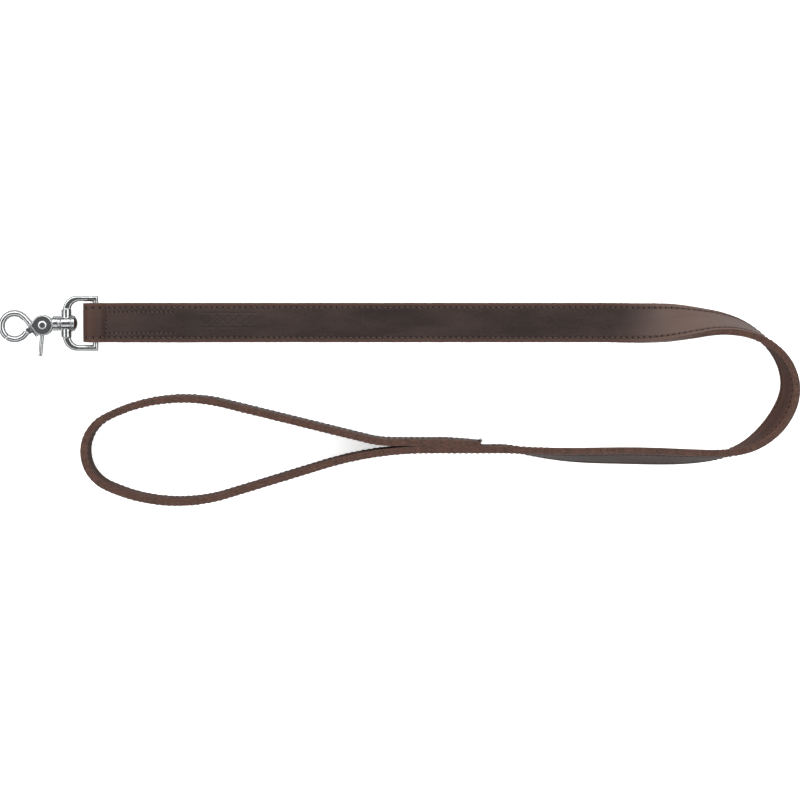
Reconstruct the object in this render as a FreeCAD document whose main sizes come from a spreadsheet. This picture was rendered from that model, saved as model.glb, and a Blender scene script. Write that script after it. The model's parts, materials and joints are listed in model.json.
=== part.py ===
import FreeCAD, Part
import math
import os
import Sketcher
from FreeCAD import Placement, Rotation, Vector

# Leather training leash, laid out on a table with its hand loop standing on edge.
# Frame: +X from the snap hook towards the bend of the strap, +Z up, origin on the
# table under the middle of the laid-out leash. Millimetres.
#
# The strap is two leathers, grain sides out, sewn along both edges. Every run of strap
# is drawn by a section in which x runs across the width and y is the grain normal.

doc = FreeCAD.newDocument("training_leash")

# ---------------------------------------------------------------- driving dimensions

SIZES = (
    ("strap_width", 25.0),
    ("leather_thick", 2.15),
    ("glue_gap", 0.1),
    ("thread_wide", 0.8),
    ("thread_thick", 0.4),
    ("thread_lift", 0.08),
    ("edge_margin", 3.0),
    ("box_margin", 6.0),
    ("flex_slit", 1.8),
    # lead and fold round the crossbar
    ("lead_axis_y", 48.6),
    ("bend_start_x", 128.4),
    ("fold_end_x", -141.8),
    ("fold_axis_x", -192.5),
    ("fold_radius", 4.1),
    ("fold_land", 1.5),
    ("fold_drop_radius", 5.5),
    ("step_start_x", -140.5),
    ("step_radius", 40.0),
    ("strand_clearance", 0.05),
    # hand loop
    ("loop_start_x", 66.4),
    ("loop_start_y", -30.8),
    ("strand_end_x", 52.1),
    ("junction_start_x", 19.6),
    ("box_inset", 4.0),
    ("snap_box_x", -182.0),
    # snap frame
    ("swivel_y", 48.2),
    ("swivel_z", 6.3),
    ("frame_left_x", -211.6),
    ("frame_right_x", -189.2),
    ("frame_width", 35.0),
    ("frame_arm", 3.7),
    ("frame_bow", 5.0),
    ("frame_thick", 3.8),
    ("frame_corner", 9.0),
    ("frame_round", 1.5),
    ("crossbar_x", -191.0),
    ("crossbar_radius", 1.8),
    ("boss_x", -209.4),
    ("boss_radius", 3.2),
    ("boss_long", 17.8),
    ("barrel_left_x", -212.5),
    ("barrel_right_x", -206.3),
    ("barrel_radius", 4.6),
    # swivel
    ("shank_radius", 2.3),
    ("swivel_play", 0.06),
    ("shank_end_x", -219.6),
    ("stud_head_radius", 4.8),
    ("stud_head_long", 2.9),
    ("stud_rim_long", 1.2),
    ("stud_dimple_deep", 0.5),
    ("washer_thick", 0.8),
    ("washer_radius", 5.1),
    ("end_play", 0.1),
    # hook body
    ("rivet_x", -224.25),
    ("rivet_y", 47.0),
    ("rivet_radius", 1.6),
    ("rivet_head_radius", 2.95),
    ("rivet_head_high", 0.8),
    ("cheek_radius", 6.6),
    ("cheek_nose", 8.1),
    ("cheek_thick", 8.0),
    ("cheek_round", 1.0),
    ("collar_left_x", -218.2),
    ("collar_right_x", -213.0),
    ("collar_radius", 4.7),
    ("collar_bevel", 0.5),
    ("collar_groove_deep", 0.6),
    ("neck_from_rivet", 3.8),
    ("neck_radius", 3.3),
    ("ring_x", -242.1),
    ("ring_y", 46.3),
    ("ring_radius", 8.25),
    ("bar_radius", 2.2),
    ("band_root_radius", 2.8),
    ("band_long", 14.0),
    # gate
    ("slot_high", 3.0),
    ("gate_thick", 2.8),
    ("gate_bar_radius", 2.1),
    ("gate_hub_radius", 3.6),
    ("hub_clearance", 0.6),
    ("gate_link_wide", 4.0),
    ("lever_radius", 1.4),
    ("lever_long", 19.8),
    ("spring_wire_radius", 0.22),
    ("spring_radius", 2.25),
    ("spring_pitch", 0.55),
    ("spring_play", 0.05),
    ("spring_recess_radius", 2.9),
    ("spring_recess_deep", 1.6),
)

# Angles in degrees.
JAW_TIP = 233.0  # where the fixed jaw ends, round the ring
GATE_TIP = 236.0  # where the gate's bar starts
GATE_ROOT = 335.0  # where the gate's bar meets its flat link
BAND_LEAVES = 40.0  # where the ring runs off into the straight band
LEVER_HEADING = 265.0
SLOT_FROM = 165.0
SLOT_TO = 325.0
SPRING_TURNS = 1.75
BAND_OVERLAP = 0.2  # how far the straight band reaches back into the ring

# The strap's middle line round the bend, with the strap's roll: 0 lies flat, 90 stands
# on edge. It leaves the lead along +X and comes back along -X.
BEND = (
    (153.4, 48.3, 10), (173.4, 48.7, 29), (190.4, 48.9, 51), (203.4, 48.3, 64),
    (216.4, 45.4, 74), (230.4, 38.0, 86), (242.4, 25.2, 96), (247.2, 6.4, 103),
    (241.4, -10.1, 106), (225.4, -26.6, 98), (202.4, -34.6, 82), (176.4, -35.8, 72.5),
    (141.4, -35.2, 71), (111.4, -34.8, 75), (86.4, -32.8, 83),
)
BEND_APEX = 8  # counts the bend's start as 0
STATION_STEP = 12.0
RUN_ON = 20.0  # spacing of the points that carry the bend into the straight strap

# The hand loop's middle line: lengths, and radii with turns in degrees, left positive.
# The last slant and the last straight are worked out so that the end lies on the strap.
LOOP_OUT = (("line", 46.8), ("turn", 227.0, 17.0), ("line", 63.4),
            ("turn", 105.6, -42.0), ("turn", 24.0, -127.8), ("turn", 107.0, -41.0))
LOOP_CLOSE = (70.0, 13.8)

sheet = doc.addObject("Spreadsheet::Sheet", "sizes")
for row, (alias, value) in enumerate(SIZES, start=1):
    sheet.set(f"A{row}", alias)
    sheet.set(f"B{row}", str(value))
    sheet.setAlias(f"B{row}", alias)
doc.recompute()


def size(alias):
    return float(getattr(sheet, alias))


STRAP_THICK = 2 * size("leather_thick") + size("glue_gap")
NODES = []
STRAP_RUNS = []


# ---------------------------------------------------------------- helpers

def new_body(label):
    body = doc.addObject("PartDesign::Body", label)
    body.Label = label
    NODES.append(body)
    return body


def origin_plane(body, role="XY_Plane"):
    return next(f for f in body.Origin.OriginFeatures if f.Role == role)


def new_sketch(body, name, place=Placement(), role="XY_Plane"):
    """An empty sketch on one of the body's origin planes, moved by place."""
    sketch = body.newObject("Sketcher::SketchObject", f"{body.Name}_{name}")
    sketch.AttachmentSupport = (origin_plane(body, role), [""])
    sketch.MapMode = "FlatFace"
    sketch.AttachmentOffset = place
    return sketch


def bind(item, **expressions):
    for key, expression in expressions.items():
        item.setExpression(key.replace("__", "."), expression)


def constrain(sketch, name, expression, kind, *where):
    """Adds a named dimension and ties it to an expression of the sheet's cells."""
    value = sketch.evalExpression(expression)
    index = sketch.addConstraint(Sketcher.Constraint(kind, *where, float(value)))
    sketch.renameConstraint(index, name)
    sketch.setExpression(f"Constraints.{name}", expression)


def rectangle(sketch, left, right, low, high):
    """A rectangle whose four sides are expressions."""
    x0, x1, y0, y1 = (float(sketch.evalExpression(e)) for e in (left, right, low, high))
    corners = [Vector(x0, y0), Vector(x1, y0), Vector(x1, y1), Vector(x0, y1)]
    for i in range(4):
        sketch.addGeometry(Part.LineSegment(corners[i], corners[(i + 1) % 4]))
    for i in range(4):
        sketch.addConstraint(Sketcher.Constraint("Coincident", i, 2, (i + 1) % 4, 1))
        sketch.addConstraint(Sketcher.Constraint("Vertical" if i % 2 else "Horizontal", i))
    constrain(sketch, "left_side", left, "DistanceX", -1, 1, 0, 1)
    constrain(sketch, "right_side", right, "DistanceX", -1, 1, 0, 2)
    constrain(sketch, "low_side", low, "DistanceY", -1, 1, 0, 1)
    constrain(sketch, "high_side", high, "DistanceY", -1, 1, 2, 1)


def circle(sketch, radius, x=0.0, y=0.0):
    index = sketch.addGeometry(Part.Circle(Vector(x, y), Vector(0, 0, 1), 1.0))
    sketch.addConstraint(Sketcher.Constraint("DistanceX", -1, 1, index, 3, x))
    sketch.addConstraint(Sketcher.Constraint("DistanceY", -1, 1, index, 3, y))
    constrain(sketch, f"radius_{index}", radius, "Radius", index)


def outline(sketch, points, closed=True):
    """Straight lines through points; a point given as ("arc", middle, end) is an arc."""
    ends = []
    at = Vector(*points[0])
    for point in list(points[1:]) + ([points[0]] if closed else []):
        if point[0] == "arc":
            middle, end = Vector(*point[1]), Vector(*point[2])
            edge = Part.Arc(at, middle, end)
            clockwise = (middle - at).cross(end - middle).z < 0
        else:
            end = Vector(*point)
            edge = Part.LineSegment(at, end)
            clockwise = False
        index = sketch.addGeometry(edge)
        # the sketcher runs every arc anticlockwise: 1 is an edge's start and 2 its end
        ends.append((index, 2, 1) if clockwise else (index, 1, 2))
        at = end
    for here, after in zip(ends, ends[1:] + (ends[:1] if closed else [])):
        sketch.addConstraint(Sketcher.Constraint("Coincident", here[0], here[2], after[0], after[1]))
    for index, _, _ in ends:
        sketch.addConstraint(Sketcher.Constraint("Block", index))


def pad(body, sketch, length):
    feature = body.newObject("PartDesign::Pad", f"{sketch.Name}_pad")
    feature.Profile = sketch
    bind(feature, Length=length)
    sketch.Visibility = False
    return feature


def pocket(body, sketch, length):
    """Cuts down from the sketch, against its normal."""
    feature = body.newObject("PartDesign::Pocket", f"{sketch.Name}_pocket")
    feature.Profile = sketch
    bind(feature, Length=length)
    return feature


def revolve(body, sketch):
    feature = body.newObject("PartDesign::Revolution", f"{sketch.Name}_turned")
    feature.Profile = sketch
    feature.ReferenceAxis = (sketch, ["H_Axis"])
    feature.Angle = 360
    return feature


def pipe(body, profile, spine):
    feature = body.newObject("PartDesign::AdditivePipe", f"{profile.Name}_pipe")
    feature.Profile = profile
    feature.Spine = (spine, [f"Edge{i + 1}" for i in range(spine.GeometryCount)])
    return feature


def loft(body, sections):
    feature = body.newObject("PartDesign::AdditiveLoft", f"{sections[0].Name}_loft")
    feature.Profile = sections[0]
    feature.Sections = sections[1:]
    return feature


def rod(body, name, base, axis, radius, length, kind="Additive"):
    """A cylinder from base along axis, added to the body or cut from it."""
    feature = body.newObject(f"PartDesign::{kind}Cylinder", f"{body.Name}_{name}")
    feature.AttachmentSupport = (origin_plane(body), [""])
    feature.MapMode = "FlatFace"
    feature.AttachmentOffset = Placement(Vector(*base), Rotation(Vector(0, 0, 1), axis))
    bind(feature, Radius=radius, Height=length)
    return feature


def soften(body, base, pick, radius):
    """Rounds the edges of base that pick accepts."""
    doc.recompute()
    edges = [f"Edge{i + 1}" for i, e in enumerate(base.Shape.Edges) if pick(e)]
    feature = body.newObject("PartDesign::Fillet", f"{base.Name}_fillet")
    feature.Base = (base, edges)
    bind(feature, Radius=radius)
    return feature


def level(edge, *heights):
    """True for an edge that lies flat at one of the heights."""
    box = edge.BoundBox
    return box.ZLength < 1e-6 and any(abs(box.ZMin - z) < 1e-6 for z in heights)


# ---------------------------------------------------------------- paths of the strap

def walk(start, heading, moves):
    """Points and arcs of a path that starts at start and makes the given moves."""
    x, y = start
    angle = math.radians(heading)
    points = [(x, y)]
    for move in moves:
        if move[0] == "line":
            x += move[1] * math.cos(angle)
            y += move[1] * math.sin(angle)
            points.append((x, y))
            continue
        side = math.copysign(1.0, move[2])
        centre = (x - side * move[1] * math.sin(angle), y + side * move[1] * math.cos(angle))
        turned = math.radians(move[2])

        def on_arc(part):
            at = angle + part * turned
            return (centre[0] + side * move[1] * math.sin(at),
                    centre[1] - side * move[1] * math.cos(at))

        points.append(("arc", on_arc(0.5), on_arc(1.0)))
        x, y = on_arc(1.0)
        angle += turned
    return points


def end_of(points):
    return points[-1][2] if points[-1][0] == "arc" else points[-1]


def step_moves(drop, radius):
    """Two equal turns that lower a path running along +X by drop; also their run."""
    turn = math.degrees(math.acos(1 - drop / (2 * radius)))
    run = 2 * radius * math.sin(math.radians(turn))
    return [("turn", radius, -turn), ("turn", radius, turn)], run


def lead_path(from_fold):
    """Side view of the lead's middle line, in x and height, to where the bend starts.

    It starts at the turned-back end under the strap, or, for the seams, on the upper
    strap just past the fold.
    """
    half = STRAP_THICK / 2
    upper = STRAP_THICK + size("strand_clearance") + half
    top = half + 2 * size("fold_radius")
    drop, drop_run = step_moves(top - upper, size("fold_drop_radius"))
    step, step_run = step_moves(upper - half, size("step_radius"))
    past_fold = size("fold_axis_x") + size("fold_land") + drop_run
    rest = [("line", size("step_start_x") - past_fold)] + step
    rest.append(("line", size("bend_start_x") - size("step_start_x") - step_run))
    if not from_fold:
        return walk((past_fold, upper), 0, rest)
    fold = [("line", size("fold_end_x") - size("fold_axis_x")),
            ("turn", size("fold_radius"), -180.0), ("line", size("fold_land"))]
    return walk((size("fold_end_x"), half), 180, fold + drop + rest)


def loop_path():
    """Plan of the hand loop's middle line, from the end of the bend to its sewn end."""
    start = (size("loop_start_x"), size("loop_start_y"))
    end_y = start[1] + STRAP_THICK + 2 * size("strand_clearance")
    radius, turn = LOOP_CLOSE
    slant = math.radians(-turn)
    x, y = end_of(walk(start, 180, LOOP_OUT))
    fall = (end_y + radius * (1 - math.cos(slant)) - y) / math.sin(slant)
    moves = list(LOOP_OUT) + [("line", fall), ("turn", radius, turn)]
    x, y = end_of(walk(start, 180, moves))
    return walk(start, 180, moves + [("line", size("strand_end_x") - x)])


def bend_curve():
    """The bend's middle line, with the roll in degrees as its third coordinate.

    It runs on into the straight strap at both ends, and comes with the parameters of
    the bend's start, apex and end.
    """
    start = Vector(size("bend_start_x"), size("lead_axis_y"), 0)
    end = Vector(size("loop_start_x"), size("loop_start_y"), 90)
    points = [start - Vector(2 * RUN_ON, 0, 0), start - Vector(RUN_ON, 0, 0), start]
    points += [Vector(*p) for p in BEND]
    points += [end, end - Vector(RUN_ON, 0, 0), end - Vector(2 * RUN_ON, 0, 0)]
    curve = Part.BSplineCurve()
    curve.interpolate(points)
    return curve, [curve.parameter(p) for p in (start, points[2 + BEND_APEX], end)]


def station(point, tangent):
    """Placement of the strap's section: x across the width, y along the grain normal."""
    tangent = Vector(tangent.x, tangent.y, 0).normalize()
    outward, up = Vector(-tangent.y, tangent.x, 0), Vector(0, 0, 1)
    roll = math.radians(point.z)
    across = up * math.sin(roll) - outward * math.cos(roll)
    normal = up * math.cos(roll) + outward * math.sin(roll)
    lift = size("strap_width") / 2 * abs(math.sin(roll)) + STRAP_THICK / 2 * abs(math.cos(roll))
    return Placement(Vector(point.x, point.y, lift), Rotation(across, normal, -tangent, "XYZ"))


def bend_stations(part):
    """Section placements from the lead to the flex slit, or from the slit to the loop."""
    curve, (start, middle, end) = bend_curve()
    speed = curve.getD1(middle)[1]
    half_slit = size("flex_slit") / 2 / math.hypot(speed.x, speed.y)
    first, last = (start, middle - half_slit) if part == "lead" else (middle + half_slit, end)
    count = math.ceil(curve.length(first, last) / STATION_STEP)
    places = []
    for i in range(count + 1):
        at = first + (last - first) * i / count
        tangent = curve.tangent(at)[0]
        if at in (start, end):
            tangent = Vector(1 if at == start else -1, 0, 0)
        places.append(station(curve.value(at), tangent))
    return places


# ---------------------------------------------------------------- strap pieces

def strap_run(label, part, left, right, low, high, from_fold=True):
    """A piece that follows the strap: a straight run or loop, and its half of the bend."""
    body = new_body(label)
    edges = (left, right, low, high)
    places = bend_stations(part)
    if part == "lead":
        path = lead_path(from_fold)
        start = Vector(path[0][0], size("lead_axis_y"), path[0][1])
        heading = Vector(-1, 0, 0) if from_fold else Vector(1, 0, 0)
        across = Vector(0, -1, 0)
        spine = new_sketch(body, "spine", Placement(Vector(0, 0, -size("lead_axis_y")), Rotation()),
                           "XZ_Plane")
    else:
        path = loop_path()
        start = Vector(path[0][0], path[0][1], size("strap_width") / 2)
        heading, across = Vector(-1, 0, 0), Vector(0, 0, 1)
        spine = new_sketch(body, "spine", Placement(Vector(0, 0, start.z), Rotation()))
    outline(spine, path, closed=False)
    normal = across.cross(-heading) * -1
    profile = new_sketch(body, "start", Placement(start, Rotation(across, normal, -heading, "XYZ")))
    rectangle(profile, *edges)
    sections = []
    for i, place in enumerate(places):
        section = new_sketch(body, f"station_{i}", place)
        rectangle(section, *edges)
        sections.append(section)
    loft(body, sections)
    pipe(body, profile, spine)
    STRAP_RUNS.append(body)


HALF_WIDTH = "sizes.strap_width / 2"
GRAIN = "(sizes.leather_thick + sizes.glue_gap / 2)"
THREAD_LOW = f"{GRAIN} + sizes.thread_lift"
THREAD_HIGH = f"{THREAD_LOW} + sizes.thread_thick"


def leather(label, part, grain_side):
    inner, outer = "sizes.glue_gap / 2", GRAIN
    low, high = (inner, outer) if grain_side else (f"-{outer}", f"-{inner}")
    strap_run(label, part, f"-{HALF_WIDTH}", HALF_WIDTH, low, high)


def edge_seam(label, part, side):
    """The row of stitches along one edge, as one thread lying on the grain."""
    centre = f"{side} * ({HALF_WIDTH} - sizes.edge_margin)"
    half = "sizes.thread_wide / 2"
    strap_run(label, part, f"{centre} - {half}", f"{centre} + {half}",
              THREAD_LOW, THREAD_HIGH, from_fold=False)


def snap_box_seam():
    """Rows that close the fold round the crossbar: two along the strap and one across."""
    body = new_body("snap_box_seam")
    top = "2 * (2 * sizes.leather_thick + sizes.glue_gap) + sizes.strand_clearance"
    sketch = new_sketch(body, "rows")
    bind(sketch, AttachmentOffset__Base__z=f"{top} + sizes.thread_lift",
         AttachmentOffset__Base__y="sizes.lead_axis_y")
    reach = size("strap_width") / 2 - size("box_margin")
    wide = size("thread_wide")
    left, right = size("snap_box_x"), size("fold_end_x")
    outline(sketch, [(left, -reach), (right, -reach), (right, -reach + wide),
                     (left + wide, -reach + wide), (left + wide, reach - wide),
                     (right, reach - wide), (right, reach), (left, reach)])
    pad(body, sketch, "sizes.thread_thick")


def handle_box_seam():
    """The rectangle of stitches that closes the hand loop, on the strap's grain side."""
    body = new_body("handle_box_seam")
    sketch = new_sketch(body, "rows", role="XZ_Plane")
    bind(sketch, AttachmentOffset__Base__z=f"-sizes.loop_start_y + {THREAD_LOW}")
    middle = size("strap_width") / 2
    reach = middle - size("box_margin")
    left, right = size("junction_start_x") + 1.0, size("strand_end_x") - size("box_inset")
    for inset in (0.0, size("thread_wide")):
        corners = [(left + inset, middle - reach + inset), (right - inset, middle - reach + inset),
                   (right - inset, middle + reach - inset), (left + inset, middle + reach - inset)]
        outline(sketch, corners)
    pad(body, sketch, "sizes.thread_thick")


# ---------------------------------------------------------------- snap frame and swivel

def swivel_frame():
    """The bail: a U whose bow carries the swivel and whose open end is the crossbar."""
    body = new_body("swivel_frame")
    low = size("swivel_z") - size("frame_thick") / 2
    high = low + size("frame_thick")
    sketch = new_sketch(body, "plan")
    bind(sketch, AttachmentOffset__Base__y="sizes.swivel_y",
         AttachmentOffset__Base__z="sizes.swivel_z - sizes.frame_thick / 2")
    x0, x1 = size("frame_left_x"), size("frame_right_x")
    reach, arm, corner = size("frame_width") / 2, size("frame_arm"), size("frame_corner")
    inner, inner_x = reach - arm, x0 + size("frame_bow")
    inner_corner = corner - size("frame_bow") + size("frame_round")
    slant = math.sqrt(0.5)

    def corner_arc(x, y, radius, y_sign, to_side):
        cx, cy = x + radius, y_sign * (y - radius)
        middle = (cx - radius * slant, cy + y_sign * radius * slant)
        end = (cx, y_sign * y) if to_side else (x, cy)
        return ("arc", middle, end)

    outline(sketch, [(x1, -reach), (x0 + corner, -reach),
                     corner_arc(x0, reach, corner, -1, False), (x0, reach - corner),
                     corner_arc(x0, reach, corner, 1, True), (x1, reach), (x1, inner),
                     (inner_x + inner_corner, inner),
                     corner_arc(inner_x, inner, inner_corner, 1, False),
                     (inner_x, -(inner - inner_corner)),
                     corner_arc(inner_x, inner, inner_corner, -1, True), (x1, -inner)])
    bow = pad(body, sketch, "sizes.frame_thick")
    soften(body, bow, lambda e: level(e, low, high), "sizes.frame_round")
    y, z = size("swivel_y"), size("swivel_z")
    rod(body, "crossbar", (size("crossbar_x"), y - inner - 1, z), Vector(0, 1, 0),
        "sizes.crossbar_radius", "sizes.frame_width - 2 * sizes.frame_arm + 2")
    rod(body, "boss", (size("boss_x"), y - size("boss_long") / 2, z), Vector(0, 1, 0),
        "sizes.boss_radius", "sizes.boss_long")
    rod(body, "barrel", (size("barrel_left_x"), y, z), Vector(1, 0, 0),
        "sizes.barrel_radius", "sizes.barrel_right_x - sizes.barrel_left_x")
    rod(body, "bore", (size("barrel_left_x") - 1, y, z), Vector(1, 0, 0),
        "sizes.shank_radius + sizes.swivel_play",
        "sizes.barrel_right_x - sizes.barrel_left_x + 2", "Subtractive")


def swivel_sketch(body, name):
    """A sketch whose x axis is the swivel axis and whose y is the radius."""
    sketch = new_sketch(body, name)
    bind(sketch, AttachmentOffset__Base__y="sizes.swivel_y",
         AttachmentOffset__Base__z="sizes.swivel_z")
    return sketch


def swivel_stud():
    """The stud that turns in the frame, with its riveted-over head inside the frame."""
    body = new_body("swivel_stud")
    sketch = swivel_sketch(body, "profile")
    head_x = size("barrel_right_x") + size("end_play") + size("washer_thick")
    top_x = head_x + size("stud_head_long")
    shank, head = size("shank_radius"), size("stud_head_radius")
    rim_x = head_x + size("stud_rim_long")
    shoulder = (top_x - size("stud_rim_long") / 2, head * 0.62)
    dimple_x = top_x - size("stud_dimple_deep")
    outline(sketch, [(size("shank_end_x"), 0), (size("shank_end_x"), shank), (head_x, shank),
                     (head_x, head), (rim_x, head),
                     ("arc", shoulder, (top_x, head * 0.3)), (dimple_x, 0)])
    revolve(body, sketch)


def swivel_washer():
    body = new_body("swivel_washer")
    sketch = swivel_sketch(body, "profile")
    start = "sizes.barrel_right_x + sizes.end_play"
    rectangle(sketch, start, f"{start} + sizes.washer_thick",
              "sizes.shank_radius", "sizes.washer_radius")
    revolve(body, sketch)


# ---------------------------------------------------------------- hook, gate and spring

def polar(centre, radius, degrees):
    angle = math.radians(degrees)
    return (centre[0] + radius * math.cos(angle), centre[1] + radius * math.sin(angle))


RIVET = (size("rivet_x"), size("rivet_y"))
RING = (size("ring_x"), size("ring_y"))


def ring_bar(body, radius, tip, root):
    """A round bar along the ring from its tip to its root, both in degrees."""
    spine = new_sketch(body, "ring")
    bind(spine, AttachmentOffset__Base__z="sizes.swivel_z")
    middle = polar(RING, size("ring_radius"), (tip + root) / 2)
    outline(spine, [polar(RING, size("ring_radius"), tip),
                    ("arc", middle, polar(RING, size("ring_radius"), root))], closed=False)
    start = Vector(*polar(RING, size("ring_radius"), tip), size("swivel_z"))
    outward = Vector(*polar((0, 0), 1, tip), 0)
    up = Vector(0, 0, 1)
    section = new_sketch(body, "bar",
                         Placement(start, Rotation(outward, up, outward.cross(up), "XYZ")))
    circle(section, radius)
    pipe(body, section, spine)


def hook_body():
    """Fixed jaw, straight band, forked cheeks that hold the gate, and the collar."""
    body = new_body("hook_body")
    z, thick = size("swivel_z"), size("cheek_thick")
    low, high = z - thick / 2, z + thick / 2

    cheek = new_sketch(body, "cheek")
    bind(cheek, AttachmentOffset__Base__z="sizes.swivel_z - sizes.cheek_thick / 2")
    radius, nose = size("cheek_radius"), size("cheek_nose")
    touch = math.degrees(math.acos(radius / nose))
    outline(cheek, [(RIVET[0] - nose, RIVET[1]), polar(RIVET, radius, 180 + touch),
                    ("arc", polar(RIVET, radius, 0), polar(RIVET, radius, 180 - touch))])
    slab = pad(body, cheek, "sizes.cheek_thick")
    soften(body, slab, lambda e: level(e, low, high), "sizes.cheek_round")

    ring_bar(body, "sizes.bar_radius", JAW_TIP, BAND_LEAVES)
    leave = Vector(*polar(RING, size("ring_radius"), BAND_LEAVES), z)
    along = Vector(*polar((0, 0), 1, BAND_LEAVES - 90), 0)
    across, up = Vector(*polar((0, 0), 1, BAND_LEAVES), 0), Vector(0, 0, 1)
    turn = Rotation(across, up, across.cross(up), "XYZ")
    ends = []
    for name, distance, width in (("band_top", -BAND_OVERLAP, "sizes.bar_radius"),
                                  ("band_root", size("band_long"), "sizes.band_root_radius")):
        ends.append(new_sketch(body, name, Placement(leave + along * distance, turn)))
        circle(ends[-1], width)
    loft(body, ends)

    collar = swivel_sketch(body, "collar")
    x0, x1, r = size("collar_left_x"), size("collar_right_x"), size("collar_radius")
    bevel, floor = size("collar_bevel"), size("collar_radius") - size("collar_groove_deep")
    neck_x, neck = RIVET[0] + size("neck_from_rivet"), size("neck_radius")
    outline(collar, [(neck_x, 0), (neck_x, neck), (x0 - bevel, neck), (x0, r - bevel),
                     (x0 + bevel, r), (x1 - 3 * bevel, r), (x1 - 3 * bevel, floor),
                     (x1 - 2 * bevel, floor), (x1 - 2 * bevel, r), (x1, r), (x1, 0)])
    revolve(body, collar)

    rod(body, "rivet_bore", (*RIVET, low - 1), Vector(0, 0, 1), "sizes.rivet_radius",
        "sizes.cheek_thick + 2", "Subtractive")
    rod(body, "shank_bore", (size("shank_end_x"), size("swivel_y"), z), Vector(1, 0, 0),
        "sizes.shank_radius", "sizes.collar_right_x - sizes.shank_end_x + 1", "Subtractive")
    rod(body, "hub_room", (*RIVET, z - size("slot_high") / 2), Vector(0, 0, 1),
        "sizes.gate_hub_radius + sizes.hub_clearance", "sizes.slot_high", "Subtractive")
    slot = new_sketch(body, "slot")
    bind(slot, AttachmentOffset__Base__z="sizes.swivel_z + sizes.slot_high / 2")
    beyond = 2 * size("cheek_radius")
    corners = [SLOT_FROM + (SLOT_TO - SLOT_FROM) * k / 3 for k in range(4)]
    outline(slot, [RIVET] + [polar(RIVET, beyond, degrees) for degrees in corners])
    pocket(body, slot, "sizes.slot_high")


def strip(body, name, heading, start, length, width):
    """A flat strip of the gate from the rivet outwards."""
    sketch = new_sketch(body, name, Placement(
        Vector(*RIVET, size("swivel_z") - size("gate_thick") / 2),
        Rotation(Vector(0, 0, 1), heading)))
    half = size(width) / 2
    outline(sketch, [(start, -half), (length, -half), (length, half), (start, half)])
    pad(body, sketch, "sizes.gate_thick")


def gate():
    """The sprung gate: round bar closing the ring, flat link and hub, thumb lever."""
    body = new_body("gate")
    z = size("swivel_z")
    low = z - size("gate_thick") / 2
    root = polar(RING, size("ring_radius"), GATE_ROOT)
    reach = math.dist(RIVET, root)
    heading = math.degrees(math.atan2(root[1] - RIVET[1], root[0] - RIVET[0]))
    rod(body, "hub", (*RIVET, low), Vector(0, 0, 1), "sizes.gate_hub_radius", "sizes.gate_thick")
    strip(body, "link", heading, 0, reach, "gate_link_wide")
    ring_bar(body, "sizes.gate_bar_radius", GATE_TIP, GATE_ROOT)
    lever = Vector(*polar((0, 0), 1, LEVER_HEADING), 0)
    rod(body, "lever", (*RIVET, z), lever, "sizes.lever_radius", "sizes.lever_long")
    rod(body, "rivet_hole", (*RIVET, low - 1), Vector(0, 0, 1),
        "sizes.rivet_radius + sizes.swivel_play", "sizes.gate_thick + 2", "Subtractive")
    rod(body, "spring_recess", (*RIVET, low - 1), Vector(0, 0, 1), "sizes.spring_recess_radius",
        "sizes.spring_recess_deep + 1", "Subtractive")


def gate_rivet():
    """Shank through both cheeks, with a domed head on each."""
    body = new_body("gate_rivet")
    place = Placement(Vector(*RIVET, size("swivel_z")), Rotation(Vector(0, 1, 0), -90))
    sketch = new_sketch(body, "profile", place)
    half, shank = size("cheek_thick") / 2, size("rivet_radius")
    head, top = size("rivet_head_radius"), half + size("rivet_head_high")
    flat, rim, shoulder = head * 0.35, half + 0.2, (half + size("rivet_head_high") * 0.75, head * 0.78)
    outline(sketch, [(-top, 0), (-top, flat), ("arc", (-shoulder[0], shoulder[1]), (-rim, head)),
                     (-half, head), (-half, shank), (half, shank), (half, head), (rim, head),
                     ("arc", shoulder, (top, flat)), (top, 0)])
    revolve(body, sketch)


def gate_spring():
    """Torsion spring round the rivet, in the gate's recess."""
    body = new_body("gate_spring")
    wire = new_sketch(body, "wire", role="XZ_Plane")
    bind(wire, AttachmentOffset__Base__x="sizes.rivet_x", AttachmentOffset__Base__z="-sizes.rivet_y",
         AttachmentOffset__Base__y="sizes.swivel_z - sizes.gate_thick / 2 "
                                   "+ sizes.spring_wire_radius + sizes.spring_play")
    circle(wire, "sizes.spring_wire_radius", size("spring_radius"))
    coil = body.newObject("PartDesign::AdditiveHelix", "spring_coil")
    coil.Profile = wire
    coil.ReferenceAxis = (wire, ["V_Axis"])
    coil.Mode = "pitch-height-angle"
    bind(coil, Pitch="sizes.spring_pitch", Height=f"{SPRING_TURNS} * sizes.spring_pitch")


# ---------------------------------------------------------------- build and write

leather("face_leather_lead", "lead", True)
leather("lining_leather_lead", "lead", False)
leather("face_leather_handle", "handle", True)
leather("lining_leather_handle", "handle", False)
for side_name, side in (("outer", -1), ("inner", 1)):
    edge_seam(f"{side_name}_edge_seam_lead", "lead", side)
    edge_seam(f"{side_name}_edge_seam_handle", "handle", side)
snap_box_seam()
handle_box_seam()
swivel_frame()
swivel_stud()
swivel_washer()
hook_body()
gate()
gate_rivet()
gate_spring()
doc.recompute()

faults = [f"{o.Label}: {o.State}" for o in doc.Objects if {"Invalid", "Error"} & set(o.State)]
for node in NODES:
    shape = node.Shape
    if shape.isNull() or not shape.isValid() or len(shape.Solids) != 1:
        faults.append(f"{node.Label}: shape is null, not valid or not one solid")
for run in STRAP_RUNS:
    # both features of a run only touch, so the whole must hold the sum of the two
    whole = sum(f.AddSubShape.Volume for f in run.Group if hasattr(f, "AddSubShape"))
    if abs(run.Shape.Volume - whole) > 0.001 * whole:
        faults.append(f"{run.Label}: the bend and the run did not join")
if faults:
    raise RuntimeError("; ".join(faults))

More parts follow.
